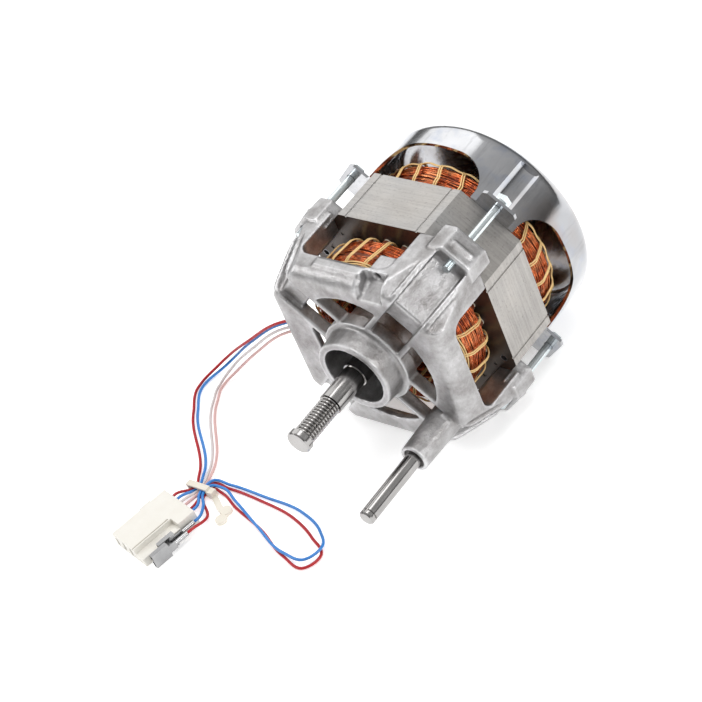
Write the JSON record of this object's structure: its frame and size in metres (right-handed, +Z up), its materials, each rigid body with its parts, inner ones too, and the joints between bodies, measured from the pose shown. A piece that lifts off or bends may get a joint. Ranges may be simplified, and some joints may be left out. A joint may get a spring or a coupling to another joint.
{
  "type": "dryer motor",
  "caption": "Open-frame induction motor with a cast front shield, laminated stator, laced windings, pressed rear bowl, grooved belt shaft, idler stud and a wired connector.",
  "frame": {"origin": "on the ground under the middle of the motor, measured without its harness", "axes": "shaft forward along -Y, +X to the right seen from behind the shaft's end view, +Z up"},
  "size_m": [0.1763, 0.2084, 0.102],
  "materials": {
    "cast": "as-cast matte aluminium with brighter worn edges",
    "lamination": "stacked electrical steel sheets, their edges machined flush",
    "rivet": "plain steel",
    "copper": "enamelled copper wire, glossy orange to red",
    "liner": "insulating film",
    "wedge": "insulating strip",
    "lace": "cream lacing cord",
    "rotor_steel": "machined lamination edges",
    "cage": "die-cast aluminium",
    "ground_steel": "ground and turned steel",
    "bearing_steel": "ground bearing steel",
    "bearing_shield": "pressed sheet",
    "bowl": "bright plated sheet",
    "zinc": "zinc-plated steel",
    "wire_red": "insulated wire",
    "wire_blue": "insulated wire",
    "wire_white": "insulated wire",
    "wire_pink": "insulated wire",
    "housing": "moulded housing",
    "contact": "tinned brass",
    "tin": "tinned sheet",
    "nylon": "natural nylon"
  },
  "bodies": {
    "frame": {"front_shield": "cast", "stator_core": "lamination", "stack_rivets": "rivet", "stator_winding": "copper", "slot_liners": "liner", "slot_wedges": "wedge", "front_lacing": "lace", "rear_lacing": "lace", "front_bearing_outer_ring": "bearing_steel", "front_bearing_balls": "bearing_steel", "front_bearing_shields": "bearing_shield", "rear_bearing_outer_ring": "bearing_steel", "rear_bearing_balls": "bearing_steel", "rear_bearing_shields": "bearing_shield", "wave_washer": "ground_steel", "rear_bowl": "bowl", "through_bolts": "zinc", "idler_stud": "ground_steel", "lead_red": "wire_red", "lead_blue": "wire_blue", "lead_white": "wire_white", "lead_pink": "wire_pink", "jumper_red": "wire_red", "jumper_blue": "wire_blue", "connector_housing": "housing", "connector_contacts": "contact", "terminal_red": "tin", "terminal_blue": "tin", "cable_tie": "nylon"},
    "rotor": {"rotor_core": "rotor_steel", "rotor_cage": "cage", "shaft": "ground_steel", "front_bearing_inner_ring": "bearing_steel", "rear_bearing_inner_ring": "bearing_steel"}
  },
  "joints": [
    {"name": "rotor_spin", "type": "hinge", "parent": "frame", "child": "rotor", "pos_m": [0, 0, 0.049], "axis": [0, 1, 0], "continuous": true}
  ]
}
